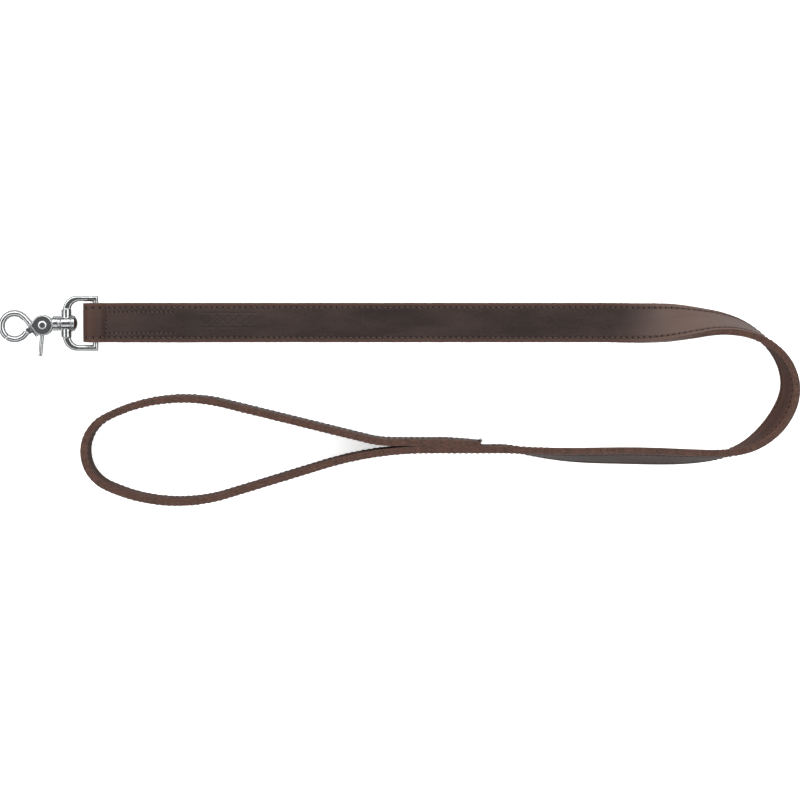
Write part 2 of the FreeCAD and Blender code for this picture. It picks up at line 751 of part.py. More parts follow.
os.makedirs("parts", exist_ok=True)
for node in NODES:
    node.Shape.exportStep(f"parts/{node.Label}.step")
    box = node.Shape.BoundBox
    print(f"{node.Label:26s} {node.Shape.Volume:9.1f} mm3  "
          f"x {box.XMin:7.1f} {box.XMax:7.1f}  y {box.YMin:6.1f} {box.YMax:6.1f}  "
          f"z {box.ZMin:5.2f} {box.ZMax:5.2f}")
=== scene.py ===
import json
import math

import bpy
import numpy as np
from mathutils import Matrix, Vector, noise

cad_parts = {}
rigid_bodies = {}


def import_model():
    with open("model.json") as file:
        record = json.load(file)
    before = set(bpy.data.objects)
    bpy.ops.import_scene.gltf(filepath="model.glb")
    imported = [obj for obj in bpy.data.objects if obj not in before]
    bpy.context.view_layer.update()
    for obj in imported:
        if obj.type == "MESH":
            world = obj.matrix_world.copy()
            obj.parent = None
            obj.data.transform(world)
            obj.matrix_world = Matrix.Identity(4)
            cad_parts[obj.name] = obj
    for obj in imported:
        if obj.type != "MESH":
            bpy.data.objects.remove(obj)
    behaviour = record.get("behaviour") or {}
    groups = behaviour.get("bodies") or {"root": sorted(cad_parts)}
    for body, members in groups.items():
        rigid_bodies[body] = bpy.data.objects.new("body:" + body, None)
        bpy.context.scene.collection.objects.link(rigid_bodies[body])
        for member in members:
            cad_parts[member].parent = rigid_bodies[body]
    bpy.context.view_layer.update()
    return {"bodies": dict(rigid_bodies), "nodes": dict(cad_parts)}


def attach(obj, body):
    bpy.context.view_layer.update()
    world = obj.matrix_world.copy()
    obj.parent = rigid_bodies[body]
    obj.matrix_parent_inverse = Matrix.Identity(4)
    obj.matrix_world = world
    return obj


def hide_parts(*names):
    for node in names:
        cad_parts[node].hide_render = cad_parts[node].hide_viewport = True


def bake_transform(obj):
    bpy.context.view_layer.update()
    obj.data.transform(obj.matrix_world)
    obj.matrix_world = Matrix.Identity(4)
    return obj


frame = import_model()

# A leather training leash: two leathers sewn back to back, a snap at one end and a hand
# loop at the other. The strap is worked out in strap coordinates, in millimetres: s runs
# along it from the end turned back under the snap, u across it, and n off its middle
# towards the grain of the face leather. place() carries them to the row frame.

MM = 0.001

# ---------------------------------------------------------------- driving dimensions, mm

WIDTH = 25.0
LEATHER = 2.15
GLUE_GAP = 0.1
HALF_THICK = LEATHER + GLUE_GAP / 2
FLESH_N = 0.005  # where the two flesh sides meet, pressed together
STRAND_GAP = 0.05

LEAD_Y = 48.6
BEND_START_X = 128.4
TWIST_X = 205.0  # the middle of the stretch that turns on edge
FOLD_END_X = -141.8
FOLD_AXIS_X = -192.5
FOLD_RADIUS = 4.1
FOLD_LAND = 1.5
FOLD_DROP_RADIUS = 5.5
STEP_START_X = -140.5
STEP_RADIUS = 40.0

LOOP_START = (66.4, -30.8)
STRAND_END_X = 52.1
STRANDS_CLOSE_X = 4.0  # from here the two strands lie so close that no gap shows
HIDDEN_LINING_X = (-8.5, 56.5)  # where the other strand covers the lining's stitches
LOOP_OUT = ((46.8, 0.0), (227.0, 17.0), (63.4, 0.0), (105.6, -42.0), (24.0, -127.8), (107.0, -41.0))
LOOP_CLOSE = (70.0, 13.8)

# The middle line round the bend, with the strap's roll in degrees: 0 flat, 90 on edge.
BEND = (
    (153.4, 48.3, 10), (173.4, 48.7, 29), (190.4, 48.9, 51), (203.4, 48.3, 64),
    (216.4, 45.4, 74), (230.4, 38.0, 86), (242.4, 25.2, 96), (247.2, 6.4, 103),
    (241.4, -10.1, 106), (225.4, -26.6, 98), (202.4, -34.6, 82), (176.4, -35.8, 72.5),
    (141.4, -35.2, 71), (111.4, -34.8, 75), (86.4, -32.8, 83),
)
RUN_ON = 20.0

EDGE_ROW = WIDTH / 2 - 3.0  # u of the rows of stitches along the edges
BOX_ROW = 6.65  # u of the rows that close the fold and the hand loop
EDGE_PITCH = 3.6
BOX_PITCH = 2.9
SNAP_BOX_X = -184.6
HANDLE_BOX_X = (20.6, 48.1)
ORNAMENT_X = -107.2
ORNAMENT_U = -1.6
ORNAMENT_LONG = 36.0

TRACK_STEP = 0.25


# ---------------------------------------------------------------- the strap's track

def course(start, heading, moves):
    """Rows of x, y and heading along moves, each a length and a turn in degrees."""
    x, y, angle = start[0], start[1], math.radians(heading)
    rows = [(x, y, angle)]
    for length, degrees in moves:
        turn = math.radians(degrees)
        count = max(1, math.ceil(length / TRACK_STEP))
        for i in range(1, count + 1):
            part = i / count
            chord = length * part * np.sinc(turn * part / 2 / math.pi)
            middle = angle + turn * part / 2
            rows.append((x + chord * math.cos(middle), y + chord * math.sin(middle),
                         angle + turn * part))
        x, y, angle = rows[-1]
    return np.array(rows)


def arc(radius, degrees):
    return (radius * math.radians(abs(degrees)), degrees)


def lowering(drop, radius):
    """Two equal turns that lower a course by drop; also the run they need."""
    turn = math.degrees(math.acos(1 - drop / (2 * radius)))
    return [arc(radius, -turn), arc(radius, turn)], 2 * radius * math.sin(math.radians(turn))


def lead_course():
    """Side view, x and z, from the turned-back end round the crossbar to the bend."""
    upper = 3 * HALF_THICK + STRAND_GAP
    drop, drop_run = lowering(HALF_THICK + 2 * FOLD_RADIUS - upper, FOLD_DROP_RADIUS)
    step, step_run = lowering(upper - HALF_THICK, STEP_RADIUS)
    fold = [(FOLD_END_X - FOLD_AXIS_X, 0.0), arc(FOLD_RADIUS, -180.0), (FOLD_LAND, 0.0)]
    along = [(STEP_START_X - FOLD_AXIS_X - FOLD_LAND - drop_run, 0.0)]
    to_bend = [(BEND_START_X - STEP_START_X - step_run, 0.0)]
    return course((FOLD_END_X, HALF_THICK), 180, fold + drop + along + step + to_bend)


def loop_course():
    """Plan, x and y, of the hand loop, back to its end on the strap."""
    moves = [m if m[1] == 0 else arc(*m) for m in LOOP_OUT]
    end_y = LOOP_START[1] + 2 * (HALF_THICK + STRAND_GAP)
    radius, turn = LOOP_CLOSE
    y = course(LOOP_START, 180, moves)[-1][1]
    slant = math.radians(turn)
    moves += [((y - end_y - radius * (1 - math.cos(slant))) / math.sin(slant), 0.0), arc(radius, turn)]
    x = course(LOOP_START, 180, moves)[-1][0]
    return course(LOOP_START, 180, moves + [(STRAND_END_X - x, 0.0)])


def spline(points, first, last):
    """Rows of a natural cubic spline through points, from one of them to another."""
    points = np.array(points, float)
    t = np.concatenate(([0], np.cumsum(np.linalg.norm(np.diff(points, axis=0), axis=1))))
    gap = np.diff(t)
    slope = np.diff(points, axis=0) / gap[:, None]
    matrix, right = np.eye(len(t)), np.zeros_like(points)
    for i in range(1, len(t) - 1):
        matrix[i, i - 1:i + 2] = gap[i - 1], 2 * (gap[i - 1] + gap[i]), gap[i]
        right[i] = 6 * (slope[i] - slope[i - 1])
    curve = np.linalg.solve(matrix, right)
    at = np.linspace(t[first], t[last], int((t[last] - t[first]) / TRACK_STEP))
    i = np.clip(np.searchsorted(t, at, side="right") - 1, 0, len(gap) - 1)
    h, a, b = gap[i, None], (t[i + 1] - at)[:, None], (at - t[i])[:, None]
    return (curve[i] * a ** 3 + curve[i + 1] * b ** 3) / (6 * h) + (
        (points[i] / h - curve[i] * h / 6) * a + (points[i + 1] / h - curve[i + 1] * h / 6) * b)


def bend_track():
    """Centre, across and normal round the bend."""
    start, end = np.array((BEND_START_X, LEAD_Y, 0.0)), np.array((*LOOP_START, 90.0))
    back = np.array((RUN_ON, 0, 0))
    points = [start - 2 * back, start - back, start, *BEND, end, end - back, end - 2 * back]
    rows = spline(points, 2, 3 + len(BEND))
    tangent = np.gradient(rows[:, :2], axis=0)
    tangent /= np.linalg.norm(tangent, axis=1)[:, None]
    tangent[0], tangent[-1] = (1, 0), (-1, 0)
    outward = np.stack((-tangent[:, 1], tangent[:, 0], np.zeros(len(rows))), axis=1)
    roll = np.radians(rows[:, 2])[:, None]
    up = np.array((0.0, 0.0, 1.0))
    centre = rows * (1, 1, 0) + up * (np.abs(np.sin(roll)) * WIDTH / 2 + np.abs(np.cos(roll)) * HALF_THICK)
    return centre, up * np.sin(roll) - outward * np.cos(roll), up * np.cos(roll) + outward * np.sin(roll)


def strap_track():
    """Distance, centre, across and normal along the whole strap."""
    side = lead_course()
    zero = np.zeros(len(side))
    across = np.tile((0.0, -1.0, 0.0), (len(side), 1))
    heading = np.stack((np.cos(side[:, 2]), zero, np.sin(side[:, 2])), axis=1)
    lead = (np.stack((side[:, 0], zero + LEAD_Y, side[:, 1]), axis=1), across, np.cross(across, heading))
    plan = loop_course()
    zero = np.zeros(len(plan))
    across = np.tile((0.0, 0.0, 1.0), (len(plan), 1))
    heading = np.stack((np.cos(plan[:, 2]), np.sin(plan[:, 2]), zero), axis=1)
    loop = (np.stack((plan[:, 0], plan[:, 1], zero + WIDTH / 2), axis=1), across, np.cross(across, heading))
    runs = (lead, tuple(part[1:-1] for part in bend_track()), loop)
    centre, across, normal = (np.concatenate([run[k] for run in runs]) for k in range(3))
    s = np.concatenate(([0], np.cumsum(np.linalg.norm(np.diff(centre, axis=0), axis=1))))
    return s, centre, across, normal


TRACK_S, CENTRE, ACROSS, NORMAL = strap_track()
STRAP_LONG = TRACK_S[-1]


def at(table, s):
    return np.stack([np.interp(s, TRACK_S, table[:, k]) for k in range(3)], axis=-1)


def s_at_x(x, low, high):
    """Distance along the strap where it passes x, between two distances."""
    inside = (TRACK_S >= low) & (TRACK_S <= high)
    i = np.argmin(np.abs(CENTRE[inside, 0] - x))
    return float(TRACK_S[inside][i])


FOLD_S = FOLD_END_X - FOLD_AXIS_X + FOLD_RADIUS * math.pi / 2  # the outermost point of the fold
BEND_S = s_at_x(BEND_START_X, FOLD_S, FOLD_S + 400)
APEX_S = s_at_x(CENTRE[:, 0].max(), BEND_S, STRAP_LONG)
TWIST_S = s_at_x(TWIST_X, BEND_S, APEX_S)
LOOP_S = s_at_x(LOOP_START[0], APEX_S, APEX_S + 260)
FOLD_NARROW = 0.15  # how far each edge draws in where the strap folds
SKIVE_LONG = 24.0
SKIVE_DEEP = 0.36  # share of the thickness pared off the very end


def place(s, u, n):
    """Strap coordinates to points of the row frame, in metres."""
    narrow = FOLD_NARROW * np.exp(-((s - FOLD_S - 3) / 22.0) ** 2)
    u = u * (1 - narrow / (WIDTH / 2))
    skive = np.clip((s - (STRAP_LONG - SKIVE_LONG)) / SKIVE_LONG, 0, 1) ** 1.4
    n = (n + HALF_THICK) * (1 - SKIVE_DEEP * skive) - HALF_THICK
    return (at(CENTRE, s) + at(ACROSS, s) * u[..., None] + at(NORMAL, s) * n[..., None]) * MM


# ---------------------------------------------------------------- where the seams run

def row_holes(s0, s1, u, pitch):
    count = round((s1 - s0) / pitch)
    return [(s0 + (s1 - s0) * i / count, u) for i in range(count + 1)]


def cross_holes(s, pitch):
    count = round(2 * BOX_ROW / pitch)
    return [(s, -BOX_ROW + 2 * BOX_ROW * i / count) for i in range(count + 1)]


def snap_box_rows():
    """Two rows along the fold and one across it, on the upper strand."""
    s0 = s_at_x(SNAP_BOX_X, FOLD_S, BEND_S)
    s1 = s_at_x(STEP_START_X - 1.5, FOLD_S, BEND_S)
    return [row_holes(s0, s1, -BOX_ROW, BOX_PITCH), cross_holes(s0, BOX_PITCH),
            row_holes(s0, s1, BOX_ROW, BOX_PITCH)]


def handle_box_rows():
    """A rectangle on the outer strand of the junction, and one on the loop's end."""
    loops = []
    for low, high in ((APEX_S, LOOP_S + 200), (STRAP_LONG - 60, STRAP_LONG)):
        ends = sorted(s_at_x(x, low, high) for x in HANDLE_BOX_X)
        loops += [row_holes(*ends, -BOX_ROW, BOX_PITCH), row_holes(*ends, BOX_ROW, BOX_PITCH),
                  cross_holes(ends[0], BOX_PITCH), cross_holes(ends[1], BOX_PITCH)]
    return loops


SEAM_START = 3.0
EDGE_COUNT = int((STRAP_LONG - 2 * SEAM_START) / EDGE_PITCH)
SNAP_ROWS, HANDLE_ROWS = snap_box_rows(), handle_box_rows()
BOX_HOLES = np.array([hole for row in SNAP_ROWS + HANDLE_ROWS for hole in row])


# ---------------------------------------------------------------- shape of the leather

def rough(s, u, size, seed):
    """Smooth noise from about -1 to 1 whose bumps are size millimetres wide."""
    return np.array([noise.noise(Vector((a / size, b / size, seed))) for a, b in zip(s, u)])


def bump_at(s, u, centres, reach):
    """How much each point lies in one of the round dips at centres."""
    depth = np.zeros(len(s))
    for hole_s, hole_u in centres:
        near = np.abs(s - hole_s) < 4 * reach
        d = ((s[near] - hole_s) ** 2 + (u[near] - hole_u) ** 2) / reach ** 2
        depth[near] = np.maximum(depth[near], np.exp(-d))
    return depth


def edge_holes(s, u):
    """The same for the holes of the two edge rows."""
    along = (s - SEAM_START + EDGE_PITCH / 2) % EDGE_PITCH - EDGE_PITCH / 2
    d = (along / 0.68) ** 2 + ((np.abs(u) - EDGE_ROW) / 0.58) ** 2
    inside = (s > SEAM_START - 1) & (s < SEAM_START + EDGE_COUNT * EDGE_PITCH + 1)
    return np.exp(-d) * inside


def ornament(s, u):
    """A blind-tooled border: five lozenges between two lines, 1 where pressed."""
    a = s - s_at_x(ORNAMENT_X, FOLD_S, BEND_S)
    b = u - ORNAMENT_U
    spacing = ORNAMENT_LONG / 5
    nearest = np.clip(np.round(a / spacing), -2, 2) * spacing
    ring = np.abs(np.abs(a - nearest) / 2.9 + np.abs(b) / 2.9 - 1) * 2.1
    core = (np.abs(a - nearest) / 0.9 + np.abs(b) / 0.9) * 0.6
    lines = np.where(np.abs(a) < ORNAMENT_LONG / 2, np.abs(np.abs(b) - 4.6), 9.0)
    distance = np.minimum(np.minimum(ring, core), lines)
    return np.clip(1.4 - distance / 0.42, 0, 1)


HOLE_DEEP = 0.62
ROW_DEEP = 0.14
PRESS_DEEP = 0.36
FINE_STEP = 0.34  # between sections where there is a pressed shape or a box row
FINE_COLUMN = 0.42
SEAM_COLUMNS = (-1.7, -1.0, -0.45, 0.0, 0.45, 0.95)  # from the edge row, across the strap
STITCH_SECTIONS = (0.0, 0.35, 0.7, 1.1, 1.8, 2.5, 2.9, 3.25)  # from each hole, along it


def section_points(rim_steps, corner, flesh_corner):
    """One leather's section as (u, n) from its flesh side, anticlockwise; grain at n1."""
    n0, n1, half = FLESH_N, HALF_THICK, WIDTH / 2
    right = [0.0, 3.2] + [EDGE_ROW + d for d in SEAM_COLUMNS] + [half - corner]
    grain = [(u, n1) for u in right]
    for degrees in (30, 60, 90):
        angle = math.radians(degrees)
        grain.append((half - corner + corner * math.sin(angle), n1 - corner + corner * math.cos(angle)))
    rim = [(half, n1 - corner - (n1 - corner - n0 - flesh_corner) * k / rim_steps)
           for k in range(1, rim_steps + 1)]
    flesh = [(half - flesh_corner * 0.3, n0 + flesh_corner * 0.3), (half - flesh_corner, n0), (4.0, n0)]
    right_side = grain + rim + flesh
    left_side = [(-u, n) for u, n in reversed(right_side) if u > 0]
    return right_side + left_side


def section_places(fine_ranges, finish):
    """Distances of the sections: close together at each stitch and in the fine ranges."""
    steps = [SEAM_START + k * EDGE_PITCH + d for k in range(EDGE_COUNT + 1) for d in STITCH_SECTIONS]
    places = [p for p in steps if p < STRAP_LONG - 0.4]
    places += list(np.linspace(0.15, SEAM_START - 0.4, 6)) + list(finish)
    for low, high in fine_ranges:
        places += list(np.arange(low, high, FINE_STEP))
    places = sorted(places)
    kept = [places[0]]
    for p in places[1:]:
        if p - kept[-1] > 0.14:
            kept.append(p)
    return kept


def fill_columns(section, fine):
    """Where finer columns go in the section: gap index to the points put in it."""
    added = {}
    for i, (a, b) in enumerate(zip(section, section[1:] + section[:1])):
        if abs(a[1] - HALF_THICK) < 1e-9 and abs(b[1] - HALF_THICK) < 1e-9:
            low, high = min(a[0], b[0]), max(a[0], b[0])
            if high - low > 1.5:
                count = math.ceil((high - low) / fine)
                added[i] = [(a[0] + (b[0] - a[0]) * k / count, a[1]) for k in range(1, count)]
    return added


def sweep_faces(rings):
    """Faces between rings of (column, vertex); a ring may hold more points in a gap."""
    faces = []
    for ring, after in zip(rings, rings[1:]):
        columns = len(ring)
        for j in range(columns):
            near = ring[j] + [ring[(j + 1) % columns][0]]
            far = after[j] + [after[(j + 1) % columns][0]]
            if len(near) == len(far):
                faces += [(near[k], near[k + 1], far[k + 1], far[k]) for k in range(len(near) - 1)]
            else:
                faces.append(tuple(near + far[::-1]))
    first = [v for group in rings[0] for v in group]
    last = [v for group in rings[-1] for v in group]
    return faces + [tuple(reversed(first)), tuple(last)]


def new_mesh(name, points, faces):
    mesh = bpy.data.meshes.new(name)
    mesh.from_pydata([tuple(p) for p in points], [], faces)
    mesh.polygons.foreach_set("use_smooth", [True] * len(mesh.polygons))
    mesh.update()
    thing = bpy.data.objects.new(name, mesh)
    bpy.context.scene.collection.objects.link(thing)
    return thing


def set_attribute(thing, name, kind, values):
    """Values at the points: "strap" holds s, u and n; "marks" hole (where the painted shade of the stitch
    holes goes), rim, bend and pressing.
    """
    layer = thing.data.attributes.new(name, kind, "POINT")
    key = "vector" if kind == "FLOAT_VECTOR" else "color"
    layer.data.foreach_set(key, np.asarray(values, np.float32).ravel())


def stretched(s):
    """How hard the leather is bent: 1 round the crossbar, less in the bend and loop."""
    fold = np.exp(-((s - FOLD_S) / 9.0) ** 2)
    bend = 0.25 * np.exp(-((s - APEX_S) / 60.0) ** 2)
    return np.clip(fold + bend, 0, 1)


def sewn_flat(s):
    """1 where the lining is pressed against the other strand, so that no gap shows."""
    low = s_at_x(STRAND_END_X - 1, LOOP_S - 60, LOOP_S + 60)
    high = s_at_x(STRANDS_CLOSE_X, LOOP_S, LOOP_S + 150)
    other = s_at_x(STRANDS_CLOSE_X, STRAP_LONG - 120, STRAP_LONG)
    return ((s > low) & (s < high) | (s > other)).astype(float)


def shape_leather(s, u, n, grain, seed):
    """Waviness, dips at the stitches, pressed ornament and the skived end."""
    high = np.clip((n - FLESH_N) / LEATHER, 0, 1)
    rim = np.clip((np.abs(u) - (WIDTH / 2 - 0.6)) / 0.6, 0, 1)
    u = u + np.sign(u) * rim * (0.13 * rough(s, u * 0, 9.0, seed) + 0.15 * rough(s, n * 3, 1.3, seed + 5))
    holes = edge_holes(s, u)
    row = np.exp(-((np.abs(u) - EDGE_ROW) / 0.7) ** 2)
    if grain:
        holes = np.maximum(holes, bump_at(s, u, BOX_HOLES, 0.52))
    pressed = ornament(s, u) if grain else np.zeros(len(s))
    deep = HOLE_DEEP * holes + ROW_DEEP * row + PRESS_DEEP * pressed
    n = n - high * deep + high * 0.05 * rough(s, u, 6.0, seed + 9) * (1 - rim)
    if not grain:
        corner = (np.abs(u) > WIDTH / 2 - 0.6) & (n > HALF_THICK - 0.6)
        n = n + (HALF_THICK - n) * corner * sewn_flat(s)
    ragged = np.clip((s - (STRAP_LONG - 2.2)) / 2.2, 0, 1)
    s = s + ragged * (1.3 * rough(u * 1.3, n * 2, 1.1, seed + 3) + 0.8 * rough(u, n, 4.0, seed + 4))
    n = n + ragged * 0.35 * rough(u * 2, n * 2, 1.0, seed + 7)
    return s, u, n, holes, pressed


def leather_piece(name, grain, seed):
    """A whole leather in one piece: grain True for the face leather, False for the lining."""
    section = section_points(rim_steps=2, corner=0.5, flesh_corner=0.12)
    finish = STRAP_LONG - np.array((0.35, 0.15, 0.0))
    fine_ranges, fine = [], {}
    if grain:
        fine = fill_columns(section, FINE_COLUMN)
        middle = s_at_x(ORNAMENT_X, FOLD_S, BEND_S)
        fine_ranges = [(middle - ORNAMENT_LONG / 2 - 1.5, middle + ORNAMENT_LONG / 2 + 1.5)]
        for rows in (SNAP_ROWS, HANDLE_ROWS[:4], HANDLE_ROWS[4:]):
            along = [hole[0] for row in rows for hole in row]
            fine_ranges.append((min(along) - 1.2, max(along) + 1.2))
    points, rings = [], []
    for s in section_places(fine_ranges, finish):
        dense = any(low <= s <= high for low, high in fine_ranges)
        ring = []
        for j, (u, n) in enumerate(section):
            here = [(u, n)] + (fine.get(j, []) if dense else [])
            ring.append(list(range(len(points), len(points) + len(here))))
            points += [(s, *p) for p in here]
        rings.append(ring)
    s, u, n = np.array(points).T
    marks_rim = np.clip((np.abs(u) - (WIDTH / 2 - 0.42)) / 0.3, 0, 1) * (n < HALF_THICK - 0.02)
    moved_s, moved_u, moved_n, holes, pressed = shape_leather(s, u, n, grain, seed)
    faces = sweep_faces(rings)
    if not grain:
        moved_n = -moved_n
        faces = [tuple(reversed(face)) for face in faces]
    cut_end = np.clip((s - (STRAP_LONG - 0.2)) / 0.1, 0, 1)
    piece = new_mesh(name, place(moved_s, moved_u, moved_n), faces)
    set_attribute(piece, "strap", "FLOAT_VECTOR", np.stack((s, u, n), axis=1))
    set_attribute(piece, "marks", "FLOAT_COLOR",
                  np.stack((holes, np.maximum(marks_rim, cut_end), stretched(s), pressed), axis=1))
    return piece


# ---------------------------------------------------------------- stitches

THREAD_WIDE = 0.36
THREAD_HIGH = 0.26
THREAD_AROUND = 8
STITCH_STEPS = 9
STITCH_LEAN = 0.25  # how far a stitch leans across its row, as threads laid in turn do
STITCH_INSET = 0.5  # from the middle of a hole to where the thread leaves it
STITCH_BED = 0.42  # depth of a stitch's ends below the grain
STITCH_RISE = 0.55
FIBRE_AROUND, FIBRE_STEPS = 5, 4
FIBRE_THICK = 0.3


def stitch_points(start, end, lean):
    """One stitch between two holes, in strap coordinates, as rings of points."""
    (s0, u0), (s1, u1) = start, end
    length = math.hypot(s1 - s0, u1 - u0)
    along = np.array((s1 - s0, u1 - u0)) / length
    sideways = np.array((-along[1], along[0]))
    t = np.linspace(0, 1, STITCH_STEPS)
    rise = 1 - np.abs(2 * t - 1) ** 3.2
    height = HALF_THICK - STITCH_BED + STITCH_RISE * rise
    swell = 0.55 + 0.45 * rise ** 0.5
    angle = np.linspace(0, 2 * math.pi, THREAD_AROUND, endpoint=False)
    ply = 1 + 0.13 * np.cos(2 * (angle[None, :] - t[:, None] * 5.5))
    out = THREAD_WIDE * swell[:, None] * ply * np.cos(angle)[None, :]
    up = THREAD_HIGH * swell[:, None] * ply * np.sin(angle)[None, :]
    middle = np.array((s0, u0)) + along * (STITCH_INSET + (length - 2 * STITCH_INSET) * t)[:, None]
    middle = middle + sideways * (lean * (t - 0.5))[:, None]
    flat = middle[:, None, :] + sideways[None, None, :] * out[:, :, None]
    n = height[:, None] + up
    return np.concatenate((flat, n[:, :, None]), axis=2).reshape(-1, 3), t.repeat(THREAD_AROUND)


def tube_faces(first, rings, around, flip=False):
    """Faces of a closed tube of rings of points, from the point numbered first."""
    faces = []
    for i in range(rings - 1):
        for j in range(around):
            a, b = first + i * around + j, first + i * around + (j + 1) % around
            faces.append((a, b, b + around, a + around))
    last = first + (rings - 1) * around
    faces += [tuple(range(first + around - 1, first - 1, -1)), tuple(range(last, last + around))]
    return [tuple(reversed(face)) for face in faces] if flip else faces


def stitches(name, rows, seed):
    """Every stitch of the rows, each row a list of holes and the side it is on."""
    draw = np.random.default_rng(seed)
    points, faces, along = [], [], []
    for holes, grain in rows:
        for start, end in zip(holes, holes[1:]):
            ring, t = stitch_points(start, end, STITCH_LEAN + 0.1 * draw.standard_normal())
            first = len(points) * STITCH_STEPS * THREAD_AROUND
            faces += tube_faces(first, STITCH_STEPS, THREAD_AROUND, not grain)
            shift = draw.standard_normal(2) * (0.05, 0.04)
            ring = ring + (0, *shift)
            if not grain:
                ring = ring * (1, 1, -1)
            points.append(ring)
            along.append(t + len(along) * 7.0)
    strap = np.concatenate(points)
    piece = new_mesh(name, place(*strap.T), faces)
    set_attribute(piece, "strap", "FLOAT_VECTOR",
                  np.stack((strap[:, 0], strap[:, 1], np.concatenate(along)), axis=1))
    return piece


def edge_rows(u):
    """Holes of an edge row: all along the face, and where the lining shows."""
    holes = [(SEAM_START + k * EDGE_PITCH, u) for k in range(EDGE_COUNT + 1)]
    free = s_at_x(STEP_START_X + 6, FOLD_S, BEND_S)
    junction = s_at_x(HIDDEN_LINING_X[1], LOOP_S - 60, LOOP_S + 200)
    opening = s_at_x(HIDDEN_LINING_X[0], LOOP_S, LOOP_S + 200)
    closing = s_at_x(HIDDEN_LINING_X[0], STRAP_LONG - 120, STRAP_LONG)
    rows = [(holes, True)]
    for low, high in ((free, junction), (opening, closing)):
        rows.append(([h for h in holes if low < h[0] < high], False))
    return rows


def end_fibres(count, seed):
    """Loose fibres standing out of the cut end of the hand loop, most at its upper edge."""
    draw = np.random.default_rng(seed)
    points, faces = [], []
    for _ in range(count):
        root = np.array((STRAP_LONG - 0.4 - abs(draw.normal(0, 1.2)), draw.uniform(-WIDTH / 2, WIDTH / 2),
                         draw.uniform(-1.5, HALF_THICK - 0.2)))
        root[1] = WIDTH / 2 - abs(draw.normal(0, 4.0)) if draw.random() < 0.7 else root[1]
        aim = np.array((draw.uniform(-0.2, 1.3), draw.normal(0, 0.4), 1.0 + 4.0 * draw.random() ** 1.6))
        curl = draw.normal(0, 0.5, 3)
        faces += tube_faces(len(points), FIBRE_STEPS, FIBRE_AROUND)
        for t in np.linspace(0, 1, FIBRE_STEPS):
            middle = root + aim * t * 1.3 + curl * t * t
            reach = FIBRE_THICK * (1 - 0.7 * t)
            for angle in np.linspace(0, 2 * math.pi, FIBRE_AROUND, endpoint=False):
                points.append(middle + (0, reach * math.cos(angle), reach * math.sin(angle)))
    strap = np.array(points)
    beyond = np.clip(strap[:, 0] - STRAP_LONG, 0, None)
    placed = place(*strap.T) + beyond[:, None] * (MM, 0, 0)
    piece = new_mesh("end_fibres", placed, faces)
    set_attribute(piece, "strap", "FLOAT_VECTOR", strap)
    set_attribute(piece, "marks", "FLOAT_COLOR", np.tile((0.0, 1.0, 0.0, 0.0), (len(strap), 1)))
    return piece


# ---------------------------------------------------------------- materials

def colour(red, green, blue):
    """A colour given in display values from 0 to 255."""
    linear = [((c / 255 + 0.055) / 1.055) ** 2.4 if c > 10 else c / 255 / 12.92 for c in (red, green, blue)]
    return (*linear, 1.0)


RIM_DARK, RIM_LIGHT = colour(22, 12, 9), colour(80, 52, 40)
PULLED_SHEEN_TONE = colour(84, 67, 60)  # oiled leather pales where it is bent; partly painted sheen where the turned face catches the light
PORE_TONE = (0.004, 0.003, 0.003, 1)
PRESSED_TONE = (0.012, 0.008, 0.007, 1)
# painted shade inside the stitch holes
HOLE_SHADE_TONE = (0.0035, 0.0022, 0.0018, 1)


class Nodes:
    """Short ways to add and link the nodes of a material or a world."""

    def __init__(self, tree):
        self.tree = tree

    def add(self, kind, **settings):
        made = self.tree.nodes.new("ShaderNode" + kind)
        for key, value in settings.items():
            setattr(made, key, value)
        return made

    def give(self, socket, value):
        if isinstance(value, bpy.types.NodeSocket):
            self.tree.links.new(value, socket)
        else:
            socket.default_value = value

    def strap_place(self):
        """Where a point lies along, across and through the strap."""
        return self.add("Attribute", attribute_name="strap").outputs["Vector"]

    def math(self, operation, *values, clamp=False):
        made = self.add("Math", operation=operation, use_clamp=clamp)
        for socket, value in zip(made.inputs, values):
            self.give(socket, value)
        return made.outputs[0]

    def scaled(self, vector, factors):
        made = self.add("VectorMath", operation="MULTIPLY")
        self.give(made.inputs[0], vector)
        self.give(made.inputs[1], factors)
        return made.outputs[0]

    def noise(self, vector, scale, detail=3.0, roughness=0.55):
        made = self.add("TexNoise")
        self.give(made.inputs["Vector"], vector)
        self.give(made.inputs["Scale"], scale)
        self.give(made.inputs["Detail"], detail)
        self.give(made.inputs["Roughness"], roughness)
        return made.outputs["Fac"]

    def cells(self, vector, scale):
        made = self.add("TexVoronoi", feature="SMOOTH_F1")
        self.give(made.inputs["Vector"], vector)
        self.give(made.inputs["Scale"], scale)
        return made.outputs["Distance"]

    def mix(self, factor, first, second, kind="MIX"):
        made = self.add("Mix", data_type="RGBA", blend_type=kind)
        self.give(made.inputs[0], factor)
        self.give(made.inputs[6], first)
        self.give(made.inputs[7], second)
        return made.outputs[2]

    def between(self, value, low, high):
        """A value from 0 to 1 carried to low..high."""
        made = self.add("MapRange")
        self.give(made.inputs["Value"], value)
        self.give(made.inputs["To Min"], low)
        self.give(made.inputs["To Max"], high)
        return made.outputs["Result"]

    def step(self, value, low, high):
        """0 below low, 1 above high, smooth between."""
        made = self.add("MapRange", interpolation_type="SMOOTHSTEP")
        self.give(made.inputs["Value"], value)
        self.give(made.inputs["From Min"], low)
        self.give(made.inputs["From Max"], high)
        return made.outputs["Result"]

    def bump(self, height, distance, strength=1.0, normal=None):
        made = self.add("Bump")
        self.give(made.inputs["Height"], height)
        self.give(made.inputs["Distance"], distance)
        self.give(made.inputs["Strength"], strength)
        if normal is not None:
            self.give(made.inputs["Normal"], normal)
        return made.outputs["Normal"]


def new_material(name):
    material = bpy.data.materials.new(name)
    material.use_nodes = True
    return material, Nodes(material.node_tree), material.node_tree.nodes["Principled BSDF"].inputs


